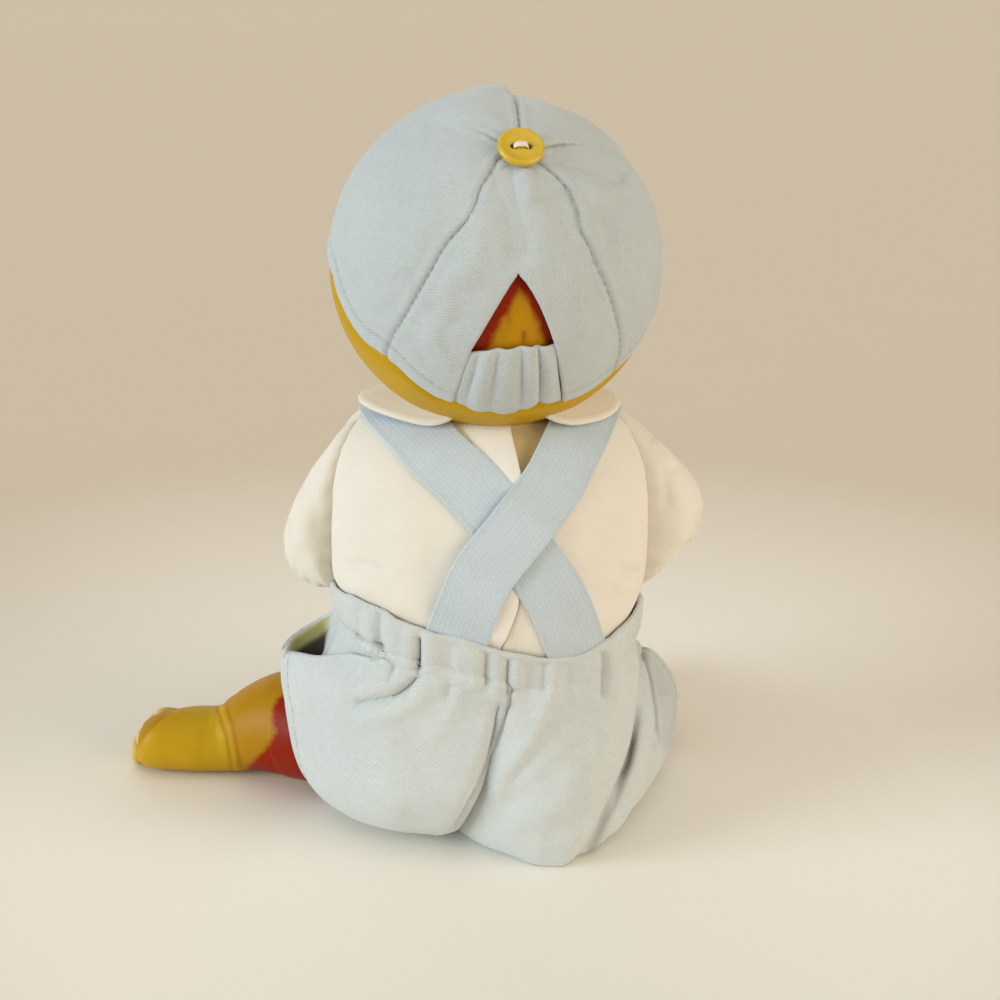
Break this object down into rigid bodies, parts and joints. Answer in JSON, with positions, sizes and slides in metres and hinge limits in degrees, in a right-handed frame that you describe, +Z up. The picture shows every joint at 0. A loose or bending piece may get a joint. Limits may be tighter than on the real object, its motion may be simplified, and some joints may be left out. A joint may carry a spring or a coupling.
{
  "type": "baby doll",
  "caption": "Seated cloth-bodied baby doll with vinyl head, hands and feet that turn, dressed in a cap, collared shirt, trousers and crossed suspenders.",
  "frame": {"origin": "on the flat underside of the trouser seat, straight below the middle of the torso", "axes": "+Z up from the seat to the crown; the doll faces -Y, so its left side is +X"},
  "size_m": [0.1985, 0.163, 0.2448],
  "materials": {
    "blue_cloth": "matte",
    "blue_elastic": "matte",
    "cream_cloth": "matte",
    "vinyl_skin": "satin",
    "body_cloth": "matte",
    "nylon_tie": "satin",
    "eye": "gloss",
    "yellow_button": "gloss",
    "thread": "matte"
  },
  "bodies": {
    "torso": {"cloth_body": "body_cloth", "neck_tie": "nylon_tie", "shirt_front": "cream_cloth", "shirt_back_left": "cream_cloth", "shirt_back_right": "cream_cloth", "collar_left": "cream_cloth", "collar_right": "cream_cloth", "pants_seat": "blue_cloth", "waistband": "blue_cloth", "suspender_left": "blue_elastic", "suspender_right": "blue_elastic", "suspender_button_left": "yellow_button", "suspender_button_right": "yellow_button", "left_pocket": "blue_cloth", "right_pocket": "blue_cloth"},
    "head": {"head_shell": "vinyl_skin", "left_eye": "eye", "right_eye": "eye", "cap_back_panel": "blue_cloth", "cap_left_side_panel": "blue_cloth", "cap_right_side_panel": "blue_cloth", "cap_front_left_panel": "blue_cloth", "cap_front_right_panel": "blue_cloth", "cap_strap": "blue_cloth", "cap_bill": "blue_cloth", "cap_button": "yellow_button", "cap_button_thread": "thread"},
    "left_arm": {"left_upper_arm": "body_cloth", "left_sleeve": "cream_cloth", "left_arm_tie": "nylon_tie"},
    "left_hand": {"left_forearm": "vinyl_skin"},
    "left_leg": {"left_thigh": "body_cloth", "left_pants_leg": "blue_cloth", "left_leg_tie": "nylon_tie"},
    "left_foot": {"left_lower_leg": "vinyl_skin"},
    "right_arm": {"right_upper_arm": "body_cloth", "right_sleeve": "cream_cloth", "right_arm_tie": "nylon_tie"},
    "right_hand": {"right_forearm": "vinyl_skin"},
    "right_leg": {"right_thigh": "body_cloth", "right_pants_leg": "blue_cloth", "right_leg_tie": "nylon_tie"},
    "right_foot": {"right_lower_leg": "vinyl_skin"}
  },
  "joints": [
    {"name": "neck_swivel", "type": "hinge", "parent": "torso", "child": "head", "pos_m": [-0.002, 0.004, 0.139], "axis": [0, 0, 1], "range_deg": [-60, 60]},
    {"name": "left_shoulder", "type": "hinge", "parent": "torso", "child": "left_arm", "pos_m": [0.046, 0.003, 0.122], "axis": [-1, 0, 0], "range_deg": [-4, 80]},
    {"name": "left_arm_swivel", "type": "hinge", "parent": "left_arm", "child": "left_hand", "pos_m": [0.0555, -0.01, 0.095], "axis": [-0.0401, -0.8814, -0.4707], "range_deg": [-40, 40]},
    {"name": "left_hip", "type": "hinge", "parent": "torso", "child": "left_leg", "pos_m": [0.03, -0.004, 0.0305], "axis": [0, 0, 1], "range_deg": [-48, 5]},
    {"name": "left_leg_swivel", "type": "hinge", "parent": "left_leg", "child": "left_foot", "pos_m": [0.06073, -0.02276, 0.0205], "axis": [0.8536, -0.521, 0], "range_deg": [-35, 35]},
    {"name": "right_shoulder", "type": "hinge", "parent": "torso", "child": "right_arm", "pos_m": [-0.046, 0.003, 0.122], "axis": [-1, 0, 0], "range_deg": [-4, 80]},
    {"name": "right_arm_swivel", "type": "hinge", "parent": "right_arm", "child": "right_hand", "pos_m": [-0.0555, -0.01, 0.095], "axis": [0.0401, -0.8814, -0.4707], "range_deg": [-40, 40]},
    {"name": "right_hip", "type": "hinge", "parent": "torso", "child": "right_leg", "pos_m": [-0.03, -0.004, 0.0305], "axis": [0, 0, -1], "range_deg": [-10, 42]},
    {"name": "right_leg_swivel", "type": "hinge", "parent": "right_leg", "child": "right_foot", "pos_m": [-0.04172, -0.03804, 0.0205], "axis": [-0.3256, -0.9455, 0], "range_deg": [-35, 35]}
  ]
}
